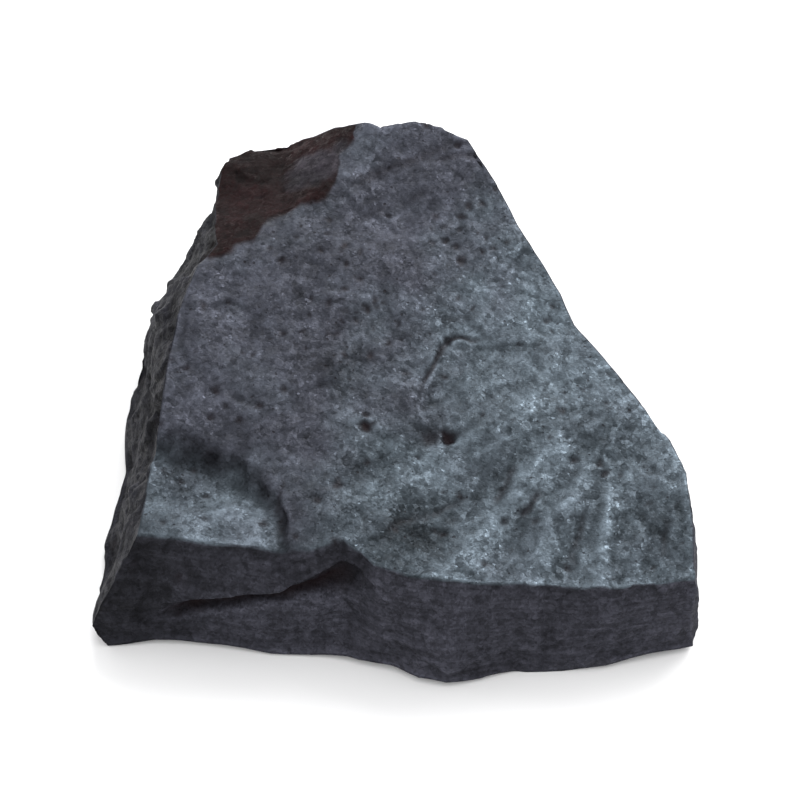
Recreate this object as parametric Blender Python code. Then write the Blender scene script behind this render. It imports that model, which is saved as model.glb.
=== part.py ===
"""Raw hematite stone: one piece of massive iron ore, broken on every side.

The stone is a low wedge.  One large fracture face makes its top and rises towards the back, a
steep wall of smaller fracture faces runs round it, and it rests on a flat patch of its underside.
The surface is a closed net: a grid stretched over the top, rows of points down the wall and in
under the foot, and one flat face to rest on.  The relief is formulas of position, so that it runs
on unbroken across the edges.
"""
import bpy
import numpy as np

# Driving dimensions.  Lengths are millimetres in the stone's own frame: +X right, +Y back, +Z up.
MM = 0.001
LENGTH = 35.6               # finished size along X
TOP_HEIGHT = 9.4            # height of the top fracture over the middle of the stone
TOP_RISE = 0.176            # how far the top rises for each millimetre towards the back
TOP_FALL = 0.075            # and how far it falls for each millimetre towards the right
PATCH_SHARE = 0.80          # size of the flat patch underneath, as a share of the foot outline
UNDER_CURVE = 1.5           # how the underside falls from foot to patch: 1 straight, more hollow
LEAST_LIFT = 0.05           # share of its height that the foot keeps wherever the swell lowers it

# The four sides of the stone, going round from the front left.  Each line is one crease of the
# wall: rim x and y, foot x and y, height of the foot over the table, and how far the wall bellies
# out half way up.
FRONT = (
    (-14.7, -12.3, -17.9, -14.1, 0.3, 0.1),
    (-12.4, -12.6, -13.8, -13.8, 0.3, 0.2),
    (-8.9, -12.8, -9.6, -14.3, 0.2, 0.2),
    (-5.0, -12.9, -4.8, -15.0, 0.2, 0.3),
    (-3.1, -12.2, -2.6, -15.3, 0.3, 0.1),       # bottom of the notch in the rim
    (-1.3, -14.0, -0.2, -15.9, 0.3, 0.4),
    (3.1, -14.8, 3.1, -16.9, 0.2, 0.6),         # the bulge
    (7.1, -14.5, 7.2, -15.8, 0.2, 0.4),
    (12.5, -14.6, 12.4, -15.6, 0.3, 0.3),
)
RIGHT = (
    (17.6, -13.5, 17.9, -14.2, 0.4, 0.2),
    (17.6, -9.8, 17.1, -9.0, 0.8, 0.3),
    (17.4, -6.6, 16.0, -5.6, 0.9, 0.3),
    (16.4, -4.4, 14.9, -3.4, 0.8, 0.5),
    (14.7, -2.0, 13.2, -1.0, 0.6, 0.6),
    (10.6, 2.8, 9.4, 3.8, 0.7, 0.0),
    (9.7, 4.8, 8.7, 5.9, 0.7, -0.2),
    (6.8, 10.5, 5.8, 11.0, 0.9, 0.7),
)
BACK = (
    (4.3, 15.2, 3.2, 14.8, 1.3, 0.6),
    (2.0, 16.3, 1.2, 15.4, 1.2, 0.6),
    (-0.6, 15.8, -1.4, 15.0, 1.0, 1.0),
    (-3.4, 17.1, -4.4, 15.9, 0.8, 1.1),
    (-6.9, 17.5, -7.6, 16.3, 0.9, 0.8),
)
LEFT = (
    (-10.0, 16.5, -10.8, 16.0, 1.0, 0.5),
    (-10.9, 12.1, -11.8, 13.1, 0.7, 0.2),
    (-10.5, 7.8, -14.2, 10.0, 0.6, 0.4),
    (-12.9, 2.4, -15.3, 5.0, 0.5, 0.3),
    (-13.7, -3.8, -15.6, -1.4, 0.5, -0.2),
    (-14.4, -8.5, -16.4, -7.4, 0.4, -0.3),
)
SIDES = (FRONT, RIGHT, BACK, LEFT)

# The dull brown facet that cuts away the back left of the top: a point on it and its slopes.
FACET_POINT = (-10.5, 6.5, 11.3)
FACET_SLOPE = (0.21, -0.33)
FACET_END = -6.0            # right of this x the facet turns up again
FACET_TURN = 0.42           # slope of that turn
FACET_BLEND = 0.5           # over which the two faces run together

# The scoop, a shallow hollow in the front left of the top: middle, half widths and depth.
SCOOP_AT = (-10.6, -10.0)
SCOOP_HALF = (5.2, 4.8)
SCOOP_DEPTH = 1.0

# The ribs, which fan out over the front right from the point that was struck.
STRUCK = (14.6, -0.1)
RIB_SPACING = 12.0          # degrees between two crests
RIB_CREST = 49.0            # degrees of one crest, from left towards the front
RIB_FIRST = (28.0, 44.0)    # degrees over which the ribs come in
RIB_LAST = (82.0, 98.0)     # and over which they go out
RIB_REACH = (4.0, 10.0)     # distances over which they rise to their full height
RIB_HEIGHT = 0.34
RIB_WANDER = (2.0, 11.4)    # degrees by which they wander from side to side, and over how far

# The bent step on the top: its corner, how far its arms run and its height.
STEP_CORNER = (3.0, 1.6)
STEP_ARM = 3.2
STEP_LEAN = 0.33            # how far the long arm leans left for each millimetre to the front
STEP_HEIGHT = 0.32
STEP_EDGE = 1.0             # width of the step itself

# Round pits: x, y, radius and depth.
PITS = (
    (-2.0, -4.8, 0.9, 0.34),
    (3.2, -5.2, 1.1, 0.38),
)

# The ledge that crosses the left half of the front wall: x and share of the wall's height at
# both ends, and how far the wall above it stands out.
LEDGE_FROM = (-14.0, 0.26)
LEDGE_TO = (-2.8, 0.80)
LEDGE_PROUD = 0.6
LEDGE_EDGE = 0.12           # share of the wall's height that the step out takes
LEDGE_BACK = -10.0          # the ledge lies in front of this y

# Flakes struck off the walls below the rim: a point on each flake's scar and the way it faces.
SCARS = (
    ((-2.0, 16.2, 5.5), (-0.05, 1.0, -0.45)),
    ((-8.6, 16.4, 3.0), (-0.35, 0.9, -0.35)),
    ((4.4, 14.0, 4.0), (0.80, 0.55, -0.45)),
    ((10.2, 4.6, 3.6), (0.85, 0.45, -0.35)),
    ((15.0, -2.4, 3.2), (0.75, 0.45, -0.50)),
    ((17.4, -8.0, 1.6), (0.90, 0.10, -0.40)),
    ((-15.8, 5.6, 1.6), (-0.80, 0.40, -0.55)),
    ((-17.9, -9.0, 1.2), (-0.90, -0.10, -0.50)),
    ((17.3, -14.3, 3.0), (0.75, -0.60, 0.10)),
)

# Shallow dishes left all over the wall by flaking, which meet in ridges.
DISHES = 20
DISH_RADIUS = 6.0           # of the round each dish is part of
DISH_SPREAD = 0.5           # between the level of the deepest dish and the shallowest
DISH_LEVEL = 0.5            # how far the deepest dish reaches in
DISH_PROUD = 0.45           # how far a ridge may stand out
DISH_FADE = 0.30            # share of the wall's height, below the rim, over which they begin
DISH_FRONT = 0.35           # share of all this on the front wall, which broke cleaner
FRONT_BEGINS = (-9.0, -12.0)    # the y over which the walls count as the front wall
DISH_SEED = 11

# Unevenness that runs over the whole stone: wavelength, height sideways, height upright and seed.
SWELLS = (
    (12.0, 0.08, 0.16, 3),
    (5.0, 0.04, 0.06, 7),
)
WAVES_PER_SWELL = 12

# The net: steps along each side, rows down the wall and rows in under the foot.
SIDE_STEPS = 50
WALL_ROWS = 7
UNDER_ROWS = 3

# Finish of the broken ore.
ORE_COLOUR = (0.085, 0.090, 0.102, 1.0)
ORE_METALLIC = 0.55
ORE_ROUGHNESS = 0.48
CREASE_ANGLE = np.radians(38.0)     # edges sharper than this are shaded as edges


def ease(share):
    """A smooth rise from 0 to 1 as the share goes from 0 to 1."""
    share = np.clip(share, 0.0, 1.0)
    return share * share * (3.0 - 2.0 * share)


def round_the_stone(turn):
    """The crease values on the way round, one side for each whole turn, creases on whole steps."""
    creases = np.array(SIDES[0] + SIDES[1] + SIDES[2] + SIDES[3] + SIDES[0][:1])
    at = []
    for side, (lines, following) in enumerate(zip(SIDES, SIDES[1:] + SIDES[:1])):
        rim = np.array(lines + following[:1])[:, :2]
        run = np.concatenate([[0.0], np.cumsum(np.hypot(*np.diff(rim, axis=0).T))])
        at.append(side + np.round(run[:-1] / run[-1] * SIDE_STEPS) / SIDE_STEPS)
    at = np.append(np.concatenate(at), len(SIDES))
    return np.array([np.interp(turn, at, column) for column in creases.T])


def spread_over_top():
    """Plan positions of the top's grid, blended between its four sides of rim (a Coons patch)."""
    share = np.linspace(0.0, 1.0, SIDE_STEPS + 1)
    front, right = round_the_stone(share)[:2], round_the_stone(1.0 + share)[:2]
    back, left = round_the_stone(3.0 - share)[:2], round_the_stone(4.0 - share)[:2]
    u, v = share[None, None, :], share[None, :, None]
    between_ends = (1.0 - v) * front[:, None, :] + v * back[:, None, :]
    between_sides = (1.0 - u) * left[:, :, None] + u * right[:, :, None]
    nearer = (1.0 - u) * front[:, 0, None, None] + u * front[:, -1, None, None]
    farther = (1.0 - u) * back[:, 0, None, None] + u * back[:, -1, None, None]
    return between_ends + between_sides - (1.0 - v) * nearer - v * farther


def fan_of_ribs(x, y):
    """Ridges along rays from the struck point: a wave of the ray's angle, higher further out."""
    left, front = STRUCK[0] - x, STRUCK[1] - y
    reach = np.hypot(left, front)
    angle = np.degrees(np.arctan2(front, left))
    angle += RIB_WANDER[0] * np.sin(2.0 * np.pi * reach / RIB_WANDER[1])
    wave = np.cos(2.0 * np.pi * (angle - RIB_CREST) / RIB_SPACING)
    rise = ease((reach - RIB_REACH[0]) / (RIB_REACH[1] - RIB_REACH[0]))
    inside = ease((angle - RIB_FIRST[0]) / (RIB_FIRST[1] - RIB_FIRST[0]))
    inside *= ease((RIB_LAST[1] - angle) / (RIB_LAST[1] - RIB_LAST[0]))
    return 0.5 * RIB_HEIGHT * rise * inside * wave


def bent_step(x, y):
    """A step down across a bent line, with the ground beyond it coming back up."""
    right = x - STEP_CORNER[0] + STEP_LEAN * (STEP_CORNER[1] - y)
    front = STEP_CORNER[1] - y
    drop = ease(right / STEP_EDGE) * ease(front / STEP_EDGE)
    away = np.hypot(right, front)
    return -STEP_HEIGHT * drop * ease(2.0 - away / STEP_ARM)


def scoop(x, y):
    """A dish with steep walls at its back and right, its floor rising towards the front."""
    across = (x - SCOOP_AT[0]) / SCOOP_HALF[0]
    back = (y - SCOOP_AT[1]) / SCOOP_HALF[1]
    inside = np.clip(1.0 - across ** 2 - back ** 2, 0.0, 1.0)
    return -SCOOP_DEPTH * ease(1.8 * inside) * (0.7 + 0.3 * back)


def top_height(x, y):
    """The top fracture: a sloping plane cut by the brown facet, with its relief added."""
    plane = TOP_HEIGHT + TOP_RISE * y - TOP_FALL * x
    facet = (FACET_POINT[2] + FACET_SLOPE[0] * (x - FACET_POINT[0])
             + FACET_SLOPE[1] * (y - FACET_POINT[1])
             + FACET_TURN * np.clip(x - FACET_END, 0.0, None))
    gap = np.clip(1.0 - np.abs(plane - facet) / FACET_BLEND, 0.0, 1.0)
    height = np.minimum(plane, facet) - 0.25 * FACET_BLEND * gap ** 2
    height = height + fan_of_ribs(x, y) + bent_step(x, y) + scoop(x, y)
    for pit_x, pit_y, radius, depth in PITS:
        near = 1.0 - ((x - pit_x) ** 2 + (y - pit_y) ** 2) / radius ** 2
        height -= depth * ease(near)
    return height


def wall_points(turn, share):
    """The wall: straight from foot to rim with a belly between, and the ledge across the front."""
    rim_x, rim_y, foot_x, foot_y, foot_z, belly = round_the_stone(turn)
    rim_z = top_height(rim_x, rim_y)
    x = foot_x + (rim_x - foot_x) * share
    y = foot_y + (rim_y - foot_y) * share
    z = foot_z + (rim_z - foot_z) * share
    ledge_share = np.interp(x, (LEDGE_FROM[0], LEDGE_TO[0]), (LEDGE_FROM[1], LEDGE_TO[1]))
    on_ledge = ease(x - LEDGE_FROM[0]) * ease(LEDGE_TO[0] + 1.0 - x) * (y < LEDGE_BACK)
    above = ease((share - ledge_share) / LEDGE_EDGE) * (1.0 - share) / (1.0 - ledge_share)
    out = belly * 4.0 * share * (1.0 - share) + LEDGE_PROUD * on_ledge * above
    reach = np.hypot(x, y)
    return np.array([x + out * x / reach, y + out * y / reach, z])


def swell(points):
    """Unevenness as a sum of plane waves in seeded directions, worked out for each axis."""
    moved = points.copy()
    for wavelength, sideways, upright, seed in SWELLS:
        draw = np.random.default_rng(seed)
        for axis, height in enumerate((sideways, sideways, upright)):
            heading = draw.normal(size=(WAVES_PER_SWELL, 3))
            heading /= np.linalg.norm(heading, axis=1)[:, None]
            pitch = wavelength * draw.uniform(0.75, 1.35, WAVES_PER_SWELL)
            phase = draw.uniform(0.0, 2.0 * np.pi, WAVES_PER_SWELL)
            wave = np.sin(2.0 * np.pi * (heading @ points) / pitch[:, None] + phase[:, None])
            moved[axis] += height * wave.sum(axis=0) / np.sqrt(WAVES_PER_SWELL / 2.0)
    return moved


def flake_dishes(points, share):
    """Dishes sunk in the wall: at every point the deepest dish counts, so that they meet in ridges.

    They begin a little below the rim, given by each point's share of the wall's height.
    """
    draw = np.random.default_rng(DISH_SEED)
    turn = len(SIDES) * (np.arange(DISHES) + draw.uniform(0.1, 0.9, DISHES)) / DISHES
    middle = wall_points(turn, draw.uniform(0.1, 0.9, DISHES))
    shallow = DISH_SPREAD * draw.uniform(0.0, 1.0, DISHES)
    away = points[:, :, None] - middle[:, None, :]
    rise = (shallow + (away ** 2).sum(axis=0) / (2.0 * DISH_RADIUS)).min(axis=1)
    front = ease((points[1] - FRONT_BEGINS[0]) / (FRONT_BEGINS[1] - FRONT_BEGINS[0]))
    cleaner = 1.0 - (1.0 - DISH_FRONT) * front
    below_rim = ease((1.0 - share) / DISH_FADE)
    depth = below_rim * cleaner * np.maximum(DISH_LEVEL - rise, -DISH_PROUD)
    level = points * np.array([1.0, 1.0, 0.0])[:, None]
    return points - depth * level / np.hypot(points[0], points[1])


def strike_off(points):
    """Whatever stands out past a scar's plane is brought back onto it."""
    for at, facing in SCARS:
        normal = np.array(facing) / np.linalg.norm(facing)
        beyond = normal @ (points - np.array(at)[:, None])
        points = points - np.clip(beyond, 0.0, None) * normal[:, None]
    return points


def stone_net():
    """The closed net of the stone: its points in millimetres and its faces."""
    x, y = spread_over_top().reshape(2, -1)
    top = np.array([x, y, top_height(x, y)])

    # The wall and the underside: rows that follow the outline down and in to the flat patch.
    count = len(SIDES) * SIDE_STEPS
    around = np.arange(count) / SIDE_STEPS
    height_shares = 1.0 - np.arange(1, WALL_ROWS + 1) / WALL_ROWS
    rows = [flake_dishes(wall_points(around, share), share) for share in height_shares]
    foot = rows[-1]
    for row in range(1, UNDER_ROWS + 1):
        inward = row / UNDER_ROWS
        spread = 1.0 - (1.0 - PATCH_SHARE) * inward
        rows.append(foot * np.array([spread, spread, (1.0 - inward) ** UNDER_CURVE])[:, None])
    points = np.hstack([top] + rows)
    lift = points[2]
    points = strike_off(swell(points))
    points[2] = np.where(lift <= 0.0, 0.0, np.maximum(points[2], LEAST_LIFT * lift))

    return points, net_faces(x.size, len(rows), count)


def net_faces(top_size, rows, count):
    """The net's faces: the top's squares, rings of squares down and in, and the flat patch."""
    grid = np.arange(top_size).reshape(SIDE_STEPS + 1, SIDE_STEPS + 1)
    squares = [np.stack([grid[:-1, :-1], grid[:-1, 1:], grid[1:, 1:], grid[1:, :-1]], -1)]
    upper = np.concatenate([grid[0, :-1], grid[:-1, -1], grid[-1, :0:-1], grid[:0:-1, 0]])
    for row in range(rows):
        lower = top_size + row * count + np.arange(count)
        squares.append(np.stack([lower, np.roll(lower, -1), np.roll(upper, -1), upper], -1))
        upper = lower
    faces = np.concatenate([part.reshape(-1, 4) for part in squares]).tolist()
    return faces + [upper[::-1].tolist()]


def ore_material():
    """Massive hematite: steel grey with a dull metallic glance."""
    material = bpy.data.materials.new("hematite_ore")
    material.use_nodes = True
    shader = material.node_tree.nodes["Principled BSDF"]
    shader.inputs["Base Color"].default_value = ORE_COLOUR
    shader.inputs["Metallic"].default_value = ORE_METALLIC
    shader.inputs["Roughness"].default_value = ORE_ROUGHNESS
    return material


def hematite_stone():
    """The stone as one closed body, brought to its length and centred over its origin."""
    points, faces = stone_net()
    low, high = points.min(axis=1), points.max(axis=1)
    points -= np.array([(low[0] + high[0]) / 2.0, (low[1] + high[1]) / 2.0, low[2]])[:, None]
    points *= LENGTH / (high[0] - low[0]) * MM
    mesh = bpy.data.meshes.new("hematite_stone")
    mesh.from_pydata(points.T.tolist(), [], faces)
    mesh.shade_smooth()
    mesh.set_sharp_from_angle(angle=CREASE_ANGLE)
    mesh.materials.append(ore_material())
    stone = bpy.data.objects.new("hematite_stone", mesh)
    bpy.context.collection.objects.link(stone)
    return stone


for old in list(bpy.data.objects):
    bpy.data.objects.remove(old, do_unlink=True)
hematite_stone()
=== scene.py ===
"""A raw hematite stone, a lump of iron ore broken on every side, lying on a pale table."""

import bpy
import numpy as np
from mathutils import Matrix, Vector


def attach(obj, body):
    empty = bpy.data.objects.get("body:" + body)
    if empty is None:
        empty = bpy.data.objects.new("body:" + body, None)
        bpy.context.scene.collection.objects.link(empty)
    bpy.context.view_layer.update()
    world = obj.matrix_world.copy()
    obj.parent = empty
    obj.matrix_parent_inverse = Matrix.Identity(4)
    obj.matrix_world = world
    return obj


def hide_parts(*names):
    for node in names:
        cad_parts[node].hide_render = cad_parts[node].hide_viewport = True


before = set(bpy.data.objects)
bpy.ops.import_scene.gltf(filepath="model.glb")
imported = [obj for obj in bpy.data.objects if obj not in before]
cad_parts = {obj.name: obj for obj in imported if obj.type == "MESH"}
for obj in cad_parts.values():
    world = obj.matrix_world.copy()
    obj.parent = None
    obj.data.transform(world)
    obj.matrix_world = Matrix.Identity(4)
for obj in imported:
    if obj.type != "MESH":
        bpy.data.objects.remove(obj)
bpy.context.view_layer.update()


# --------------------------------------------------------
# THE STONE.  Massive hematite, an iron ore: steel grey, heavy and fine-grained, with a dull
# metallic glance.  It was struck off a larger lump with a hammer, so every face is a break; the
# brown facet at the back left is an older face that has rusted.
# --------------------------------------------------------

# The four sides of its outline, going round from the front left, in millimetres: +X right,
# +Y back, +Z up.  Each line is one crease of the wall: rim x and y, foot x and y, height of the
# foot over the table, and how far the wall bellies out half way up.
MM = 0.001
FRONT = (
    (-14.7, -12.3, -18.1, -14.0, 0.3, 0.2),
    (-12.4, -12.6, -13.8, -13.8, 0.3, 0.2),
    (-8.9, -12.8, -9.6, -14.3, 0.2, 0.2),
    (-5.0, -12.9, -4.8, -15.0, 0.2, 0.3),
    (-3.1, -12.2, -2.6, -15.3, 0.3, 0.1),       # bottom of the notch in the rim
    (-1.3, -14.0, -0.2, -15.9, 0.3, 0.4),
    (0.9, -14.5, 1.4, -16.65, 0.2, 0.6),        # the bulge, rounded by three creases
    (3.1, -14.8, 3.1, -16.9, 0.2, 0.6),
    (5.1, -14.7, 5.2, -16.5, 0.2, 0.5),
    (7.1, -14.5, 7.2, -15.8, 0.2, 0.4),
    (12.5, -14.6, 12.4, -15.6, 0.3, 0.3),
)
RIGHT = (
    (17.6, -13.5, 17.9, -14.2, 0.4, 0.2),
    (17.6, -9.8, 17.1, -9.0, 0.8, 0.3),
    (17.4, -6.6, 16.0, -5.6, 0.9, 0.3),
    (16.4, -4.4, 14.9, -3.4, 0.8, 0.5),
    (14.7, -2.0, 13.2, -1.0, 0.6, 0.6),
    (10.8, 2.9, 9.6, 3.9, 0.7, 0.1),
    (10.0, 4.9, 8.9, 5.9, 0.7, -0.1),
    (6.8, 10.5, 5.8, 11.0, 0.9, 0.7),
)
BACK = (
    (4.3, 15.2, 3.2, 14.8, 1.3, 0.6),
    (2.0, 16.3, 1.2, 15.4, 1.2, 0.6),
    (-0.6, 15.8, -1.4, 15.0, 1.0, 1.0),
    (-3.4, 17.3, -4.4, 15.9, 0.8, 1.1),
    (-6.9, 18.2, -7.6, 16.4, 0.9, 0.8),
)
LEFT = (
    (-10.0, 16.5, -10.4, 16.0, 1.0, 0.3),
    (-10.9, 12.1, -12.0, 13.2, 0.7, 0.2),
    (-10.5, 7.8, -14.6, 10.1, 0.6, 0.5),
    (-12.9, 2.4, -15.5, 5.0, 0.5, 0.3),
    (-13.7, -3.8, -15.6, -1.4, 0.5, -0.2),
    (-14.4, -8.5, -16.9, -7.4, 0.4, 0.0),
)
SIDES = (FRONT, RIGHT, BACK, LEFT)

# The middle of that outline, which becomes the origin, and the finished size of its millimetre.
MIDDLE = (0.240, 0.126, 0.0)
FINISHED = 1.0073

# The net that the stone's skin is woven on: steps along each side, rows down the wall and rows
# in under the foot.
SIDE_STEPS = 214
WALL_ROWS = 44
UNDER_ROWS = 10


def ease(share):
    """A smooth rise from 0 to 1 as the share goes from 0 to 1."""
    share = np.clip(share, 0.0, 1.0)
    return share * share * (3.0 - 2.0 * share)

def eased(value, start, stop):
    """A smooth rise from 0 to 1 as the value goes from start to stop."""
    return ease((value - start) / (stop - start))


def round_the_stone(turn):
    """The crease values on the way round, one side for each whole turn, creases on whole steps."""
    creases = np.array(sum(SIDES, ()) + FRONT[:1])
    at = []
    for side, (lines, following) in enumerate(zip(SIDES, SIDES[1:] + SIDES[:1])):
        rim = np.array(lines + following[:1])[:, :2]
        run = np.concatenate([[0.0], np.cumsum(np.hypot(*np.diff(rim, axis=0).T))])
        at.append(side + np.round(run[:-1] / run[-1] * SIDE_STEPS) / SIDE_STEPS)
    at = np.append(np.concatenate(at), len(SIDES))
    return np.array([np.interp(turn, at, column) for column in creases.T])


def spread_over_top():
    """Plan positions of the top's grid, blended between its four sides of rim (a Coons patch)."""
    share = np.linspace(0.0, 1.0, SIDE_STEPS + 1)
    front, right = round_the_stone(share)[:2], round_the_stone(1.0 + share)[:2]
    back, left = round_the_stone(3.0 - share)[:2], round_the_stone(4.0 - share)[:2]
    u, v = share[None, None, :], share[None, :, None]
    between_ends = (1.0 - v) * front[:, None, :] + v * back[:, None, :]
    between_sides = (1.0 - u) * left[:, :, None] + u * right[:, :, None]
    nearer = (1.0 - u) * front[:, 0, None, None] + u * front[:, -1, None, None]
    farther = (1.0 - u) * back[:, 0, None, None] + u * back[:, -1, None, None]
    return between_ends + between_sides - (1.0 - v) * nearer - v * farther


# Broken ore is uneven at every size.  Two formulas of position give it that: soft lumps, and
# flakes, which are small flat breaks with a step or a crease between them.  A pattern of lumps
# named below is its size, its layers and its seed.
LATTICE = 24                # cubes after which the pattern comes round again
FLAKE_BLEND = 22.0          # how sharply one flake takes over from the next


def lumps(points, size, seed):
    """Smooth random lumps, about -1 to 1, one to every cube of the given size.

    Every corner of the cubes has a random slope.  The eight corners round a point each give the
    height of their own slope there, and eases along the three axes blend the eight.
    """
    slopes = np.random.default_rng(seed).normal(size=(LATTICE, LATTICE, LATTICE, 3))
    cell = np.floor(points / size).astype(int)
    inside = points / size - cell
    share = ease(inside)
    height = np.zeros(points.shape[1])
    for corner in np.ndindex(2, 2, 2):
        corner = np.array(corner)[:, None]
        at = (cell + corner) % LATTICE
        rise = (slopes[at[0], at[1], at[2]].T * (inside - corner)).sum(axis=0)
        height += rise * np.where(corner == 1, share, 1.0 - share).prod(axis=0)
    return height


def rough(points, size, layers, seed):
    """Lumps on lumps: each layer has half the size and half the height of the one before."""
    return sum(lumps(points, size / 2 ** n, seed + n) / 2 ** n for n in range(layers))


def flakes(points, size, seed):
    """Flat breaks, about -1 to 1: every cube has a centre and a plane, both random.

    A point's height is the average of the planes round it, each weighted by how near its centre
    is; the weight falls off so fast that one plane rules nearly up to the next.
    """
    draw = np.random.default_rng(seed)
    middles = draw.uniform(0.0, 1.0, (LATTICE, LATTICE, LATTICE, 3))
    tilts = draw.normal(0.0, 1.0, (LATTICE, LATTICE, LATTICE, 3))
    levels = draw.normal(0.0, 0.5, (LATTICE, LATTICE, LATTICE))
    cell = np.floor(points / size).astype(int)
    inside = points / size - cell
    height = np.zeros(points.shape[1])
    weights = np.zeros(points.shape[1])
    for offset in np.ndindex(3, 3, 3):
        offset = np.array(offset)[:, None] - 1
        at = (cell + offset) % LATTICE
        away = inside - offset - middles[at[0], at[1], at[2]].T
        weight = np.exp(-FLAKE_BLEND * (away ** 2).sum(axis=0))
        plane = levels[at[0], at[1], at[2]] + (tilts[at[0], at[1], at[2]].T * away).sum(axis=0)
        height += weight * plane
        weights += weight
    return height / weights


# The top is one large fracture that rises towards the back.  The dull brown facet cuts away its
# back left: a point on the facet and its slopes.
TOP_HEIGHT = 9.4            # over the middle of the stone
TOP_RISE = 0.176            # for each millimetre towards the back
TOP_FALL = 0.075            # for each millimetre towards the right
FACET_POINT = (-10.5, 6.5, 11.3)
FACET_SLOPE = (0.21, -0.33)
FACET_END = -6.8            # right of this x the facet turns up again
FACET_TURN = 0.40           # slope of that turn
FACET_BLEND = 0.5           # over which the two faces run together


def fracture_and_facet(x, y):
    """Heights of the top fracture's plane and of the brown facet's."""
    plane = TOP_HEIGHT + TOP_RISE * y - TOP_FALL * x
    facet = (FACET_POINT[2] + FACET_SLOPE[0] * (x - FACET_POINT[0])
             + FACET_SLOPE[1] * (y - FACET_POINT[1])
             + FACET_TURN * np.clip(x - FACET_END, 0.0, None))
    return plane, facet


def from_line(x, y, line):
    """Distance to the nearest point of a bent line, and that point's share of the line's length."""
    line = np.array(line)
    legs = np.diff(line, axis=0)
    lengths = np.hypot(*legs.T)
    gone = np.concatenate([[0.0], np.cumsum(lengths)])
    nearest = np.full_like(x, np.inf)
    share = np.zeros_like(x)
    for start, leg, length, before in zip(line, legs, lengths, gone):
        along = ((x - start[0]) * leg[0] + (y - start[1]) * leg[1]) / length
        along = np.clip(along, 0.0, length)
        off = np.hypot(x - start[0] - leg[0] * along / length,
                       y - start[1] - leg[1] * along / length)
        share = np.where(off < nearest, (before + along) / gone[-1], share)
        nearest = np.minimum(nearest, off)
    return nearest, share


def tapered(share):
    """1 along the middle half of a line, easing to 0 over the quarter at each of its ends."""
    return ease(4.0 * share) * ease(4.0 * (1.0 - share))


def strayed(x, y, reach, size, layers, seeds):
    """Places moved by lumps, one pattern for each axis, so that a shape looked up there is ragged."""
    place = np.array([x, y, np.zeros_like(x)])
    return [axis + reach * rough(place, size, layers, seed) for axis, seed in zip((x, y), seeds)]


# The ribs are hackle marks, which fan out over the front right from the point that was struck.
STRUCK = (14.6, -0.1)
FAN_FIRST = (6.0, 26.0)     # degrees, from left towards the front, over which the fan comes in
FAN_LAST = (84.0, 102.0)    # and over which it goes out
FAN_REACH = (2.0, 6.0)      # distances over which it rises to its full height
STREAK_SPAN = (3.4, 3.0)    # degrees across and millimetres along of the streaks that fill it
STREAKS = (1.0, 3, 43)      # their pattern
STREAK_HEIGHT = 0.045
# Each rib is the line of its crest, going outwards, and its width at both ends of the line.
RIBS = (
    (((12.4, -2.3), (8.9, -6.3), (7.1, -8.8), (5.3, -10.9), (2.4, -15.0), (1.3, -17.0)), (1.1, 2.6)),
    (((11.6, -5.8), (10.8, -8.1), (9.1, -11.0), (7.4, -15.0), (6.6, -17.0)), (0.9, 2.5)),
    (((12.9, -7.6), (12.3, -10.9), (11.9, -15.0), (11.7, -17.0)), (0.8, 1.5)),
    (((14.6, -9.2), (13.9, -13.1), (13.5, -17.0)), (0.8, 1.3)),
    (((10.6, -0.4), (6.7, -4.0), (4.8, -5.5), (3.3, -6.9), (-0.6, -8.7), (-2.8, -10.9)), (1.6, 2.6)),
)
RIB_HEIGHT = 0.20
RIB_LEVEL = 0.4             # the level, as a share of a crest, that lies flush with the fracture
# A stray is how far a shape wanders off its line, the size of the bends, their layers and seeds.
RIB_STRAY = (0.30, 2.2, 3, (41, 45))


def fan(x, y):
    """How far inside the fan a place is, 0 to 1, and the streaks there, about -1 to 1.

    Both are formulas of the ray from the struck point: its angle and the distance along it.  The
    streaks are lumps that are far longer along the ray than across it.
    """
    left, front = STRUCK[0] - x, STRUCK[1] - y
    reach = np.hypot(left, front)
    angle = np.degrees(np.arctan2(front, left))
    inside = eased(reach, *FAN_REACH) * eased(angle, *FAN_FIRST) * (1.0 - eased(angle, *FAN_LAST))
    polar = np.array([angle / STREAK_SPAN[0], reach / STREAK_SPAN[1], np.zeros_like(x)])
    return inside, inside * rough(polar, *STREAKS)


def ribs(x, y):
    """0 to 1: the highest of the crests, each a rounded ridge as wide as its line says there."""
    x, y = strayed(x, y, *RIB_STRAY)
    crest = np.zeros_like(x)
    for line, (narrow, wide) in RIBS:
        off, share = from_line(x, y, line)
        width = narrow + (wide - narrow) * share
        crest = np.maximum(crest, tapered(share) * ease(1.0 - off / width))
    return crest


# The bent step on the top: its corner, how far its arms run and its height.
STEP_CORNER = (3.0, 1.6)
STEP_ARM = 3.2
STEP_LEAN = 0.33            # how far the long arm leans left for each millimetre to the front
STEP_HEIGHT = 0.22
STEP_EDGE = 0.60            # width of the step itself


def bent_step(x, y):
    """A step down across a bent line.

    The ground beyond it comes back up between one and two arm's lengths from the corner.
    """
    right = x - STEP_CORNER[0] + STEP_LEAN * (STEP_CORNER[1] - y)
    front = STEP_CORNER[1] - y
    drop = ease(right / STEP_EDGE) * ease(front / STEP_EDGE)
    away = np.hypot(right, front)
    return -STEP_HEIGHT * drop * ease(2.0 - away / STEP_ARM)


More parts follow.
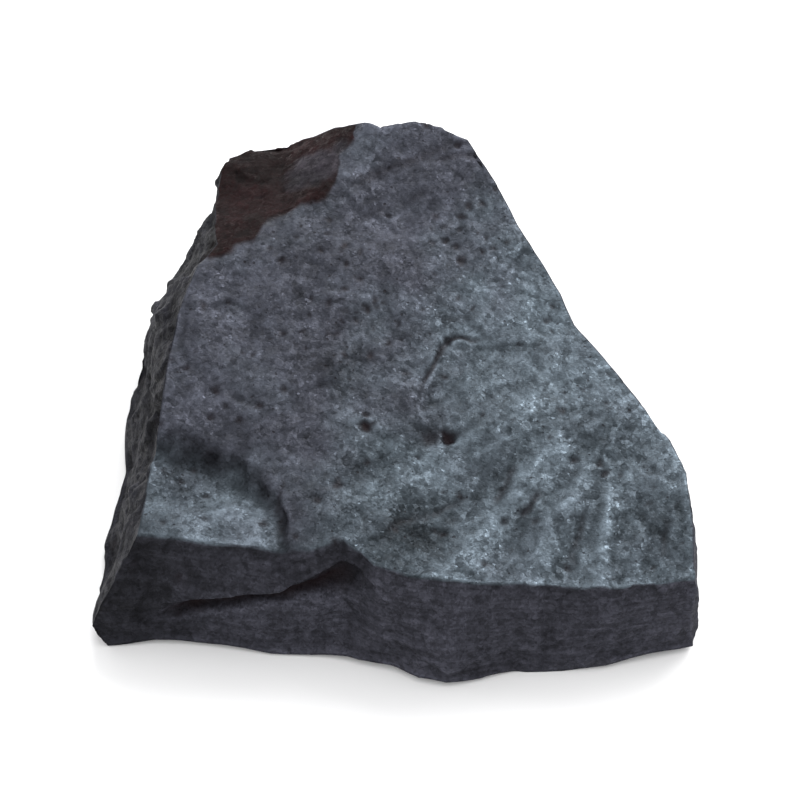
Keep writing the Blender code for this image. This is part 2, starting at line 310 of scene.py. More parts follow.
# The scoop, a shallow hollow in the front left corner of the top: the line of its edge.
SCOOP_EDGE = ((-20.0, -5.4), (-15.6, -4.9), (-13.2, -5.2), (-11.3, -5.6), (-9.3, -6.5),
              (-7.8, -7.5), (-6.7, -8.9), (-6.0, -10.8), (-5.6, -15.0), (-5.5, -20.0))
SCOOP_STRAY = (0.4, 2.2, 3, (81, 86))
SCOOP_WALL = (1.8, 1.15)    # how wide the slope below the edge is at the back, and at the right
SCOOP_CORNER = (0.45, 0.62)     # shares of the edge's length between which back turns to right
SCOOP_DEPTH = 1.05
SCOOP_RISE = (-6.5, -14.5, 0.30)    # its floor rises from this y to that, to this share of depth


def scoop(x, y):
    """0 outside and 1 on the floor, by distance from the edge; and the depth of the floor."""
    x, y = strayed(x, y, *SCOOP_STRAY)
    off, share = from_line(x, y, SCOOP_EDGE)
    wall = np.interp(share, SCOOP_CORNER, SCOOP_WALL)
    inside = (y < np.interp(x, *np.transpose(SCOOP_EDGE))) * ease(off / wall)
    start, stop, rest = SCOOP_RISE
    floor = 1.0 + (rest - 1.0) * np.clip((y - start) / (stop - start), 0.0, 1.0)
    return inside, SCOOP_DEPTH * floor


# Round pits: x, y, radius and depth.  The first two are the large ones, and the third is a dent
# beside the second.
PITS = (
    (-1.6, -4.6, 0.60, 0.22),
    (3.2, -4.9, 0.66, 0.24),
    (2.2, -5.0, 0.80, 0.11),
    (3.2, 1.6, 0.45, 0.16),
    (12.1, -6.3, 0.45, 0.10),
    (3.1, 8.2, 0.38, 0.14),
    (9.1, 3.3, 0.35, 0.12),
    (3.9, 14.7, 0.40, 0.14),
    (-8.3, -0.3, 0.30, 0.10),
    (-4.8, 3.8, 0.28, 0.09),
    (-9.8, -3.7, 0.28, 0.08),
    (-0.3, 10.0, 0.28, 0.10),
)
PIT_STRAY = (0.16, 0.6, 3, (51, 56))
PIT_FLOOR = 0.2             # share of a pit's radius over which its bottom is level


def pits(x, y):
    """How deep the pits are: each is a bowl, ragged round its edge."""
    x, y = strayed(x, y, *PIT_STRAY)
    depth = np.zeros_like(x)
    for pit_x, pit_y, radius, deepest in PITS:
        away = np.hypot(x - pit_x, y - pit_y)
        depth = np.maximum(depth, deepest * eased(away / radius, 1.0, PIT_FLOOR))
    return depth


# Small pits strewn over the top, most of them in the middle and towards the back right.
POCK_LATTICE = 64
POCK_APART = 0.62           # side of the squares that hold one pock each
POCK_RADIUS = (0.18, 0.46)
POCK_STRAY = (0.20, 0.7, 2, (71, 76))
POCK_DEPTH = 0.10
POCK_LEAST = 0.4            # how deep the smallest one is, as a share of the largest
POCK_SEED = 57
POCK_MANY = (               # where they crowd: x, y, radius and the share of squares that have one
    (-2.4, 2.2, 5.0, 0.60),
    (-4.0, 6.5, 4.5, 0.30),
    (4.2, 8.4, 4.0, 0.45),
    (8.5, 2.4, 3.0, 0.20),
    (-12.5, -1.0, 5.5, 0.15),
    (1.5, -10.5, 3.5, 0.30),
)
POCK_FEW = 0.05             # that share everywhere else


def pocks(x, y):
    """Small pits, 0 to 1: every square of a lattice holds a place, a size and a chance of one."""
    x, y = strayed(x, y, *POCK_STRAY)
    draw = np.random.default_rng(POCK_SEED)
    middles = draw.uniform(0.0, 1.0, (2, POCK_LATTICE, POCK_LATTICE))
    chance, size = draw.uniform(0.0, 1.0, (2, POCK_LATTICE, POCK_LATTICE))
    cell = np.floor(np.array([x, y]) / POCK_APART).astype(int)
    deep = np.zeros_like(x)
    for offset in np.ndindex(3, 3):
        square = cell + np.array(offset)[:, None] - 1
        at = tuple(square % POCK_LATTICE)
        middle = (square + middles[:, at[0], at[1]]) * POCK_APART
        many = np.full_like(x, POCK_FEW)
        for many_x, many_y, reach, share in POCK_MANY:
            near = ease(1.0 - np.hypot(middle[0] - many_x, middle[1] - many_y) / reach)
            many = np.maximum(many, share * near)
        radius = POCK_RADIUS[0] + (POCK_RADIUS[1] - POCK_RADIUS[0]) * size[at]
        away = np.hypot(x - middle[0], y - middle[1])
        pock = np.where(chance[at] < many, ease(1.0 - away / radius), 0.0)
        deep = np.maximum(deep, pock * (POCK_LEAST + (1.0 - POCK_LEAST) * size[at]))
    return deep


# Hairline cracks and drawn-out scratches of the fracture: the corners of each, and its width and
# depth.
CRACKS = (
    (((5.8, 1.8), (3.3, 1.8), (2.6, 0.6), (1.5, -2.3)), 0.30, 0.13),        # the bent step's edge
    (((-6.5, -8.1), (-6.6, -10.7), (-6.2, -12.6)), 0.20, 0.08),             # beside the scoop
    (((-3.4, 11.0), (-2.2, 12.2), (1.0, 13.6), (4.2, 15.0)), 0.60, 0.06),
    (((-2.6, 9.4), (-1.1, 10.1), (0.8, 10.8), (2.6, 11.9)), 0.50, 0.03),
    (((2.3, 13.5), (3.9, 14.0), (6.0, 13.6)), 0.50, 0.06),
    (((8.7, -8.2), (8.0, -9.3), (7.2, -10.1)), 0.50, 0.12),                 # between the ribs
    (((7.2, -6.4), (6.6, -7.9), (5.8, -9.4)), 0.45, 0.08),
    (((5.2, -8.3), (2.6, -9.8), (0.4, -10.7), (-0.9, -12.6)), 0.50, 0.05),
    (((11.5, -9.2), (10.8, -11.2), (10.2, -13.8)), 0.50, 0.06),
    (((15.9, -9.6), (15.7, -12.4)), 0.35, 0.05),
)
CRACK_STRAY = (0.16, 0.9, 2, (61, 66))
CRACK_ENDS = 0.2            # share of its depth that a crack has from end to end; the rest tapers


def cracks(x, y):
    """Grooves along bent lines, ragged, and thinning at both ends."""
    x, y = strayed(x, y, *CRACK_STRAY)
    depth = np.zeros_like(x)
    for line, width, deepest in CRACKS:
        off, share = from_line(x, y, line)
        bottom = deepest * (CRACK_ENDS + tapered(share))
        depth = np.maximum(depth, bottom * ease(1.0 - off / width))
    return depth


def top_height(x, y):
    """The top fracture: a sloping plane cut by the brown facet, with its relief added.

    Plane and facet run together: where they are closer than the blend, the lower of the two is
    sunk by a quarter of the blend times the square of how close they are.
    """
    plane, facet = fracture_and_facet(x, y)
    gap = np.clip(1.0 - np.abs(plane - facet) / FACET_BLEND, 0.0, 1.0)
    height = np.minimum(plane, facet) - 0.25 * FACET_BLEND * gap ** 2
    inside, streaks = fan(x, y)
    height += RIB_HEIGHT * inside * (ribs(x, y) - RIB_LEVEL) + STREAK_HEIGHT * streaks
    hollow, floor = scoop(x, y)
    return height + bent_step(x, y) - hollow * floor


# A ledge crosses the left half of the front wall: x and share of the wall's height at both ends,
# and how far the wall above it stands out.
LEDGE_FROM = (-14.0, 0.30)
LEDGE_TO = (-2.8, 0.82)
LEDGE_PROUD = 0.85
LEDGE_GROWS = 2.5           # over how many millimetres it grows to that at its left end
LEDGE_FADES = 1.0           # and over how many it fades past its right end
LEDGE_EDGE = 0.06           # share of the wall's height that the step out takes
LEDGE_BACK = -10.0          # the ledge lies in front of this y


def ledge_line(x):
    """The share of the wall's height at which the ledge runs."""
    return np.interp(x, (LEDGE_FROM[0], LEDGE_TO[0]), (LEDGE_FROM[1], LEDGE_TO[1]))


def before_ledge_end(x):
    """1 as far as the ledge's right end, easing to 0 just past it."""
    return ease((LEDGE_TO[0] + LEDGE_FADES - x) / LEDGE_FADES)


def wall_points(turn, share):
    """The wall: straight from foot to rim with a belly between, and the ledge across the front.

    The belly is a parabola, 4 s (1 - s) for the share s of the height, which is 1 half way up.
    """
    rim_x, rim_y, foot_x, foot_y, foot_z, belly = round_the_stone(turn)
    rim_z = top_height(rim_x, rim_y)
    x = foot_x + (rim_x - foot_x) * share
    y = foot_y + (rim_y - foot_y) * share
    z = foot_z + (rim_z - foot_z) * share
    ledge_share = ledge_line(x)
    on_ledge = ease((x - LEDGE_FROM[0]) / LEDGE_GROWS) * before_ledge_end(x) * (y < LEDGE_BACK)
    above = ease((share - ledge_share) / LEDGE_EDGE) * (1.0 - share) / (1.0 - ledge_share)
    out = belly * 4.0 * share * (1.0 - share) + LEDGE_PROUD * on_ledge * above
    reach = np.hypot(x, y)
    return np.array([x + out * x / reach, y + out * y / reach, z])


# Unevenness that runs over the whole stone: wavelength, height sideways, height upright and seed.
SWELLS = (
    (12.0, 0.08, 0.16, 3),
    (5.0, 0.04, 0.06, 7),
)
WAVES = 12                  # that each is made of
WAVE_SPREAD = (0.75, 1.35)  # the shortest and the longest of them, as shares of the wavelength


def swell(points):
    """Unevenness as a sum of plane waves in seeded directions, worked out for each axis."""
    moved = points.copy()
    for wavelength, sideways, upright, seed in SWELLS:
        draw = np.random.default_rng(seed)
        for axis, height in enumerate((sideways, sideways, upright)):
            heading = draw.normal(size=(WAVES, 3))
            heading /= np.linalg.norm(heading, axis=1)[:, None]
            pitch = wavelength * draw.uniform(*WAVE_SPREAD, WAVES)
            phase = draw.uniform(0.0, 2.0 * np.pi, WAVES)
            wave = np.sin(2.0 * np.pi * (heading @ points) / pitch[:, None] + phase[:, None])
            moved[axis] += height * wave.sum(axis=0) / np.sqrt(WAVES / 2.0)
    return moved


# Shallow dishes left all over the wall by flaking, which meet in ridges.
DISHES = 20
DISH_PLACE = (0.1, 0.9)     # shares of its stretch of wall, and of the height, for its middle
DISH_RADIUS = 6.0           # of the round each dish is part of
DISH_SPREAD = 0.5           # between the level of the deepest dish and the shallowest
DISH_LEVEL = 0.5            # how far the deepest dish reaches in
DISH_PROUD = 0.45           # how far a ridge may stand out
DISH_FADE = 0.30            # share of the wall's height, below the rim, over which they begin
DISH_FRONT = 0.35           # share of all this on the front wall, which broke cleaner
FRONT_BEGINS = (-9.0, -12.0)    # the y over which the walls count as the front wall
DISH_SEED = 11


def flake_dishes(points, share):
    """Dishes sunk in the wall: at every point the deepest dish counts, so that they meet in ridges.

    They begin a little below the rim, given by each point's share of the wall's height.
    """
    draw = np.random.default_rng(DISH_SEED)
    turn = len(SIDES) * (np.arange(DISHES) + draw.uniform(*DISH_PLACE, DISHES)) / DISHES
    middle = wall_points(turn, draw.uniform(*DISH_PLACE, DISHES))
    shallow = DISH_SPREAD * draw.uniform(0.0, 1.0, DISHES)
    away = points[:, :, None] - middle[:, None, :]
    rise = (shallow + (away ** 2).sum(axis=0) / (2.0 * DISH_RADIUS)).min(axis=1)
    clean_and_lit_share = 1.0 - (1.0 - DISH_FRONT) * eased(points[1], *FRONT_BEGINS)
    below_rim = ease((1.0 - share) / DISH_FADE)
    depth = below_rim * clean_and_lit_share * np.maximum(DISH_LEVEL - rise, -DISH_PROUD)
    level = points * np.array([1.0, 1.0, 0.0])[:, None]
    return points - depth * level / np.hypot(points[0], points[1])


# Flakes struck off the walls below the rim: a point on each flake's scar and the way it faces.
SCARS = (
    ((-2.0, 16.2, 5.5), (-0.05, 1.0, -0.45)),
    ((-8.6, 16.4, 3.0), (-0.35, 0.9, -0.35)),
    ((4.4, 14.0, 4.0), (0.80, 0.55, -0.45)),
    ((10.2, 4.6, 3.6), (0.85, 0.45, -0.35)),
    ((15.0, -2.4, 3.2), (0.75, 0.45, -0.50)),
    ((17.4, -8.0, 1.6), (0.90, 0.10, -0.40)),
    ((-15.8, 5.6, 1.6), (-0.80, 0.40, -0.55)),
    ((-17.9, -9.0, 1.2), (-0.90, -0.10, -0.50)),
    ((17.3, -14.3, 3.0), (0.75, -0.60, 0.10)),
)


def strike_off(points):
    """Whatever stands out past a scar's plane is brought back onto it."""
    for at, outward in SCARS:
        normal = np.array(outward) / np.linalg.norm(outward)
        beyond = normal @ (points - np.array(at)[:, None])
        points = points - np.clip(beyond, 0.0, None) * normal[:, None]
    return points


PATCH_SHARE = 0.80          # size of the flat patch underneath, as a share of the foot outline
UNDER_CURVE = 1.5           # how the underside falls from foot to patch: 1 straight, more hollow
LEAST_LIFT = 0.05           # share of its height that the foot keeps wherever the swell lowers it


def stone_net():
    """The closed net: its points, its squares, the ring round the flat patch and the wall shares."""
    x, y = spread_over_top().reshape(2, -1)
    top = np.array([x, y, top_height(x, y)])
    count = len(SIDES) * SIDE_STEPS
    around = np.arange(count) / SIDE_STEPS
    height_shares = 1.0 - np.arange(1, WALL_ROWS + 1) / WALL_ROWS
    rows = [flake_dishes(wall_points(around, share), share) for share in height_shares]
    foot = rows[-1]
    for row in range(1, UNDER_ROWS + 1):
        inward = row / UNDER_ROWS
        spread = 1.0 - (1.0 - PATCH_SHARE) * inward
        rows.append(foot * np.array([spread, spread, (1.0 - inward) ** UNDER_CURVE])[:, None])
    points = np.hstack([top] + rows)
    lift = points[2]
    points = strike_off(swell(points))
    points[2] = np.where(lift <= 0.0, 0.0, np.maximum(points[2], LEAST_LIFT * lift))

    grid = np.arange(x.size).reshape(SIDE_STEPS + 1, SIDE_STEPS + 1)
    squares = [np.stack([grid[:-1, :-1], grid[:-1, 1:], grid[1:, 1:], grid[1:, :-1]], -1)]
    upper = np.concatenate([grid[0, :-1], grid[:-1, -1], grid[-1, :0:-1], grid[:0:-1, 0]])
    for row in range(len(rows)):
        lower = x.size + row * count + np.arange(count)
        squares.append(np.stack([lower, np.roll(lower, -1), np.roll(upper, -1), upper], -1))
        upper = lower
    squares = np.concatenate([part.reshape(-1, 4) for part in squares])
    wall_share = np.concatenate([np.ones(x.size), np.repeat(height_shares, count),
                                 np.zeros(UNDER_ROWS * count)])
    return points, squares, upper[::-1], wall_share


def facing(points, squares):
    """The way the skin faces at every point: the sum of the cross products of its squares."""
    a, b, c, d = (points[:, squares[:, corner]] for corner in range(4))
    cross = np.cross(c - a, d - b, axis=0)
    normals = np.zeros_like(points)
    for corner in range(4):
        for axis in range(3):
            normals[axis] += np.bincount(squares[:, corner], cross[axis], points.shape[1])
    return normals / np.linalg.norm(normals, axis=0)


# How broken the faces are, in millimetres: on the smooth top, and on the walls.
TOP_LUMPS = 0.05
WALL_LUMPS = 0.07
LUMPS = (2.6, 4, 71)        # the pattern of both
TOP_FLAKES = ((3.4, 81, 0.06), (1.4, 82, 0.03))     # size of the flakes, seed, height of a step
WALL_FLAKES = ((4.2, 91, 0.20), (1.9, 92, 0.11), (0.9, 93, 0.045))
WALL_TAKEN = 0.22           # how much the flakes have taken off the walls on average
FRONT_FLAKES = 0.45         # share of the wall's flakes on the front wall, which broke cleaner
GRAIN_HEIGHT = 0.02         # of the coarse crystal grain
GRAIN = (0.55, 2, 101)
LAYER_HEIGHT = 0.035        # of the bedding that shows in the walls as faint level lines
LAYER_FLAT = 0.10           # how thick the layers are for their length
LAYERS = (0.5, 2, 111)
TABLE_CLEAR = (0.1, 1.0)    # heights over the table between which the relief comes in

# Leans, from 0 on a wall to 1 on level ground, over which one sort of face turns into another.
TOP_LEAN = (0.55, 0.85)     # from the breaks of a wall to those of the top
LAYER_LEAN = (0.30, 0.70)   # from a wall with its layers to a face that is too flat to show them
HOLLOW_LEAN = (0.30, 0.60)  # from a wall, with no pits or cracks, to the top, which has them

# The open seam under the ledge.
SEAM_WIDE = 0.085           # half its width, in shares of the wall's height
SEAM_FLARE = 0.9            # how much wider it gets at its right end
SEAM_FLARES = (0.75, 1.0)   # over these shares of the ledge's length
SEAM_ENDS = 1.1             # on this share of the ledge's length
SEAM_THINS = (5.0, 6.0)     # how fast it thins to its left end and its right one
SEAM_DEEP = 0.60
SEAM_RAGGED = 0.05          # share of the wall's height by which it wavers
SEAM_WAVER = (1.6, 3, 141)


def seam(points, share):
    """0 to 1: a groove just below the line of the ledge, ragged and thinning at both ends."""
    x, y = points[:2]
    along = (x - LEDGE_FROM[0]) / (LEDGE_TO[0] - LEDGE_FROM[0])
    wide = SEAM_WIDE * (1.0 + SEAM_FLARE * eased(along, *SEAM_FLARES))
    off = share - ledge_line(x) + 0.5 * wide + SEAM_RAGGED * rough(points, *SEAM_WAVER)
    taper = ease(SEAM_THINS[0] * along) * ease(SEAM_THINS[1] * (SEAM_ENDS - along))
    return taper * (y < LEDGE_BACK) * ease(1.0 - np.abs(off) / wide)


def relief(points, normals, share):
    """How far the skin stands out along its normal: lumps, flakes, grain, layers, pits, cracks."""
    x, y, z = points
    upward = eased(normals[2], *TOP_LEAN)
    broken = (1.0 - upward) * (1.0 - (1.0 - FRONT_FLAKES) * eased(y, *FRONT_BEGINS))
    height = (WALL_LUMPS + (TOP_LUMPS - WALL_LUMPS) * upward) * rough(points, *LUMPS)
    for size, seed, step in TOP_FLAKES:
        height += upward * step * flakes(points, size, seed)
    for size, seed, step in WALL_FLAKES:
        height += broken * step * flakes(points, size, seed)
    height -= broken * WALL_TAKEN
    height += GRAIN_HEIGHT * rough(points, *GRAIN)
    bedding = points * np.array([LAYER_FLAT, LAYER_FLAT, 1.0])[:, None]
    aside = 1.0 - eased(np.abs(normals[2]), *LAYER_LEAN)
    height += LAYER_HEIGHT * aside * rough(bedding, *LAYERS)
    height -= SEAM_DEEP * seam(points, share)
    sunk = pits(x, y) + cracks(x, y) + POCK_DEPTH * pocks(x, y)
    height -= eased(normals[2], *HOLLOW_LEAN) * sunk
    return height * eased(z, *TABLE_CLEAR)


# Six things are kept for every point: rust, dirt with painted shade in the hollows, how much it
# belongs to the bright top fracture and how fresh it is there, painted light included, all as
# shares; how light the ore is there, with painted light and shade, 1 being plain; and the height
# up the wall in millimetres, along which the layers of the ore lie.
WALL_HIGH = 8.5             # the wall's height in millimetres, as its layers count it
BRIGHT_RIM = (0.97, 1.0)    # shares of the wall's height over which the bright top begins
BRIGHT_LEAN = (0.20, 0.60)
DIRT_AND_SHADE_DEPTH = 0.22          # a pit or a crack this deep is full of dirt and painted shade
DIRT_AND_SHADE_POCK = 0.75           # how dark the deepest of the small pits is, with dirt and painted shade


def dirt_and_hollow_shade(points, normals, share):
    """1 in the pits, cracks and seam, with their grime, rust and painted shade; 0 elsewhere."""
    x, y = points[:2]
    deep = np.maximum(pits(x, y), cracks(x, y)) / DIRT_AND_SHADE_DEPTH
    deep = np.maximum(deep, DIRT_AND_SHADE_POCK * pocks(x, y)) * eased(normals[2], *HOLLOW_LEAN)
    return np.clip(np.maximum(deep, seam(points, share)), 0.0, 1.0)


PROUD_ROUNDS = 6            # rounds of averaging that make a point's surroundings
PROUD_HEIGHT = 0.05         # how many millimetres proud of them count as fully worn


def average_round(values, squares):
    """Every point's value replaced by the average over the squares that meet there."""
    of_square = values[squares].mean(axis=1)
    total, count = np.zeros_like(values), np.zeros_like(values)
    for corner in range(4):
        total += np.bincount(squares[:, corner], of_square, values.size)
        count += np.bincount(squares[:, corner], minlength=values.size)
    return total / count


def proud(points, normals, squares):
    """How far a point stands out from the average of its surroundings, 0.5 being level."""
    smooth = points.copy()
    for _ in range(PROUD_ROUNDS):
        smooth = np.array([average_round(axis, squares) for axis in smooth])
    out = ((points - smooth) * normals).sum(axis=0)
    return np.clip(0.5 + 0.5 * out / PROUD_HEIGHT, 0.0, 1.0)


# The rusty facet's lower edge, seen from above, and how ragged it is.
RUST_EDGE = (
    (-12.0, -11.2, -8.3, -7.6, -4.0, -3.6, -3.2, -2.4, -2.1),
    (6.0, 6.2, 7.2, 9.0, 10.5, 11.4, 14.0, 14.6, 18.0),
)
RUST_RAGGED = 0.7           # how far that edge wanders; half as far sideways
RUST_WANDER = (1.5, 4, 121)
RUST_BLEND = 0.7            # over how many millimetres the rust fades in
RUST_SPARED = (-4.2, 13.7, 2.4, 2.2, 0.36)  # where it is thinner: x, y, half widths, share lost
RUST_LEAN = (0.20, 0.50)
RUST_RIM = (0.86, 0.96)     # shares of the wall's height over which it fades in below the rim


def rusty(points, normals, share):
    """1 on the rusty facet, 0 elsewhere, with a ragged edge between; none far below the rim."""
    x, y = points[:2]
    ragged = RUST_RAGGED * rough(points, *RUST_WANDER)
    edge = (y - np.interp(x + 0.5 * ragged, *RUST_EDGE) + ragged) / RUST_BLEND
    spared_x, spared_y, half_wide, half_long, lost = RUST_SPARED
    spared = 1.0 - np.hypot((x - spared_x) / half_wide, (y - spared_y) / half_long)
    upper = eased(normals[2], *RUST_LEAN) * eased(share, *RUST_RIM)
    return ease(edge) * (1.0 - lost * ease(2.0 * spared + ragged)) * upper


FRESH_AND_LIT_ACROSS = (0.75, -0.40)    # the way the top gets fresher and, as painted light, lighter: to the right and the front
FRESH_AND_LIT_SPAN = (-2.5, 4.5)    # how far along that way it begins and is complete
FRESH_AND_LIT_RAGGED = 2.2
FRESH_AND_LIT_WANDER = (4.5, 4, 131)
FRESH_AND_LIT_SCOOP = 0.8           # how fresh the floor of the scoop is, and how much painted light it gets


def fresh_and_lit(points):
    """1 where the break is newest and bluish, with painted light: over the right of the top, and in
    the scoop.
    """
    x, y = points[:2]
    along = FRESH_AND_LIT_ACROSS[0] * x + FRESH_AND_LIT_ACROSS[1] * y + FRESH_AND_LIT_RAGGED * rough(points, *FRESH_AND_LIT_WANDER)
    return np.maximum(eased(along, *FRESH_AND_LIT_SPAN), FRESH_AND_LIT_SCOOP * scoop(x, y)[0])


# Light and dark areas of the top: x, y, radius and how much lighter the ore is there; those
# marked are painted light and painted shade.
AREAS = (
    # the bright slope behind the bent step: painted light
    (7.0, 4.4, 4.2, 0.28),
    (11.8, 0.0, 3.2, 0.30),
    (16.4, -11.0, 3.8, -0.30),      # the duller corner at the front right
    (-5.5, 8.6, 4.5, -0.22),        # below the rust
    (-2.8, 1.2, 3.6, -0.14),
    (1.0, 9.8, 2.8, 0.13),
    (1.2, 3.2, 2.0, 0.14),          # left of the bent step
    (-1.0, -8.4, 3.2, -0.26),
    (-3.1, -1.4, 2.5, -0.38),
    (-4.2, -10.0, 2.0, -0.14),
    (-11.3, -3.0, 2.8, 0.10),
    (8.5, -10.0, 4.0, 0.08),
    (1.6, -10.2, 3.1, -0.30),
    (9.8, -13.2, 3.0, 0.12),
    (-13.2, -5.2, 1.9, 0.16),
    (-14.2, -8.5, 2.2, -0.22),
    (-14.2, -11.2, 2.4, -0.13),
    (-10.6, -11.0, 2.0, 0.12),
    (0.6, -12.8, 3.8, -0.50),       # over the bulge of the front wall
    (-12.6, 2.0, 4.5, 0.10),
    (-9.5, -11.5, 3.5, 0.54),       # the floor of the scoop: painted light
    (-11.7, -7.4, 2.8, -0.32),      # and its back: painted shade
)
SCOOP_SHADE = 0.34          # how much darker the upper slope of the scoop is: painted shade
RIB_SHINE = 0.40            # how much lighter a crest is than a trough: a painted highlight
STREAK_SHINE = 0.12
WEAR_AND_HOLLOW_SHADE = 0.35           # how much lighter edges and proud points are, as wear, and darker hollows, as painted shade
MOTTLE = (                  # lighter and darker spots: their strength, and their pattern
    (0.32, (0.9, 3, 151)),
    (0.20, (2.2, 3, 156)),
)
MOTTLE_WALLS = 0.3          # share of them on the walls

# The walls' painted shade and light.  A face counts as front or left by how far its normal
# points that way.
FRONT_LEAN = (-0.1, -0.5)
LEFT_LEAN = (-0.3, -0.7)
CORNER_LIGHT = (            # x along the front wall, and how light it is there: painted shade, darker to the left
    (-17.0, -14.5, -12.5, -9.0, -2.0),
    (0.34, 0.42, 0.60, 0.82, 1.03),
)
NOTCH_PLACE = (-2.9, 0.86)  # the painted shade under the notch in the rim: x and share of the height
NOTCH_HALF = (2.0, 0.32)    # half its width and half its height
NOTCH_SHADE = 0.45
LEDGE_LIGHT = (0.93, 1.24)  # how light the front wall is above the ledge, and below it: painted shade and light
LEDGE_BLUR = 0.1            # share of the height over which one turns into the other
LEFT_SHADE = 0.60           # how much darker the left wall is: painted shade
LEFT_BEGINS = (-8.0, -10.0)     # x over which it gets so


def spot(away):
    """1 over the inner third of a spot, easing to 0 at its edge, where away is 1."""
    return ease(1.5 * (1.0 - away))


def wall_lightness(points, normals, bright, share):
    """How light the walls are, painted shade and light: darker at the front left, under the notch, on
    the left.
    """
    x = points[0]
    front = (1.0 - bright) * eased(normals[1], *FRONT_LEAN)
    light = 1.0 - front * (1.0 - np.interp(x, *CORNER_LIGHT))
    away = np.hypot((x - NOTCH_PLACE[0]) / NOTCH_HALF[0], (share - NOTCH_PLACE[1]) / NOTCH_HALF[1])
    light *= 1.0 - front * NOTCH_SHADE * spot(away)
    above, under = LEDGE_LIGHT
    below = ease(0.5 + (ledge_line(x) - share) / LEDGE_BLUR)
    light *= 1.0 + front * before_ledge_end(x) * (above - 1.0 + (under - above) * below)
    left = (1.0 - bright) * eased(normals[0], *LEFT_LEAN) * eased(x, *LEFT_BEGINS)
    return light * (1.0 - LEFT_SHADE * left)


def lightness(points, normals, squares, bright, share):
    """How light the ore is: a product of areas, ribs, scoop, spots, walls and wear, with painted
    light and shade.
    """
    x, y = points[:2]
    light = np.ones_like(x)
    for area_x, area_y, radius, more in AREAS:
        light += more * bright * spot(np.hypot(x - area_x, y - area_y) / radius)
    inside, streaks = fan(x, y)
    light *= 1.0 + bright * inside * RIB_SHINE * (ribs(x, y) - RIB_LEVEL)
    light *= 1.0 + bright * STREAK_SHINE * streaks
    hollow = scoop(x, y)[0]
    painted_scoop_shade = 6.7 * hollow * (1.0 - hollow) ** 2       # painted shade, highest, about 1, a third of the way down
    light *= 1.0 - bright * SCOOP_SHADE * painted_scoop_shade
    for strength, pattern in MOTTLE:
        strength = strength * (MOTTLE_WALLS + (1.0 - MOTTLE_WALLS) * bright)
        light *= 1.0 + strength * rough(points, *pattern)
    light *= wall_lightness(points, normals, bright, share)
    # Edges lighter as wear, hollows darker as painted shade.
    return light * (1.0 + WEAR_AND_HOLLOW_SHADE * (2.0 * proud(points, normals, squares) - 1.0))


# Colours of the ore.
STEEL = (0.0590, 0.0730, 0.0865, 1.0)       # the fresh part of the top fracture, lighter partly as painted light
STEEL_WARM = (0.0370, 0.0395, 0.0505, 1.0)  # the rest of it, a little purple
DULL = (0.0270, 0.0273, 0.0355, 1.0)        # the walls
RUST = (0.0052, 0.0017, 0.0018, 1.0)        # the old facet
RUST_RED = (0.0092, 0.0021, 0.0025, 1.0)    # and its redder patches
DIRT_AND_SHADE = (0.0068, 0.0036, 0.0048, 1.0)        # in pits, cracks and the seam: dirt, and painted shade
SPECULAR = 0.07

# The fine patterns of the ore, and how many of each there are to a millimetre.
PATCHES = 0.22
SPLINTERS = 2.4
CRYSTALS = (0.42, 0.15)     # the size of a coarse one and of a fine one
PINHOLES = 2.6
WAVER = (2.2, 0.3)          # bends in the edges of crystals and pinholes, and how far they go
BED_LINES = 3.2             # up the wall
BED_FLAT = 0.09             # how thick the lines are for their length
# How dark and how light each makes the ore.
PATCH_TONES = (0.86, 1.14)
SPLINTER_TONES = (0.84, 1.16)
COARSE_TONES = (0.78, 1.22)
FINE_TONES = (0.72, 1.28)
BED_TONES = (-0.22, 0.22)   # to add to 1, on the walls alone
# How far each stands out, in millimetres; for crystals, the steepness of their faces.
SPLINTER_RISE = 0.04
COARSE_RISE = 0.34
FINE_RISE = 0.36
HOLE_RISE = -0.05
BED_RISE = 0.06
# Pinholes: share of the places with none, radius of the widest, its edge, and the dirt and
# painted shade in them on a wall and on the top.
HOLE_NONE = 0.78
HOLE_WIDE = 0.26
HOLE_EDGE = 0.06
HOLE_DIRT_AND_SHADE = (0.2, 0.6)
# Metal shine: a wall's, what the top adds over the rest of it and where fresh, what a glint adds,
# and the share left on rust and under dirt and painted shade.
METAL_WALL = 0.10
METAL_TOP = (0.35, 0.60)
METAL_GLINT = 0.25
METAL_LEFT = 0.1
GLINTING = (0.92, 0.97)     # random share of a fine crystal past which it glints
# How matt: a wall and the top, and what crystals, a glint and rust change in it.
MATT = (0.62, 0.50)
MATT_CRYSTAL = (0.07, -0.07)
MATT_GLINT = -0.16
MATT_RUST = 0.18


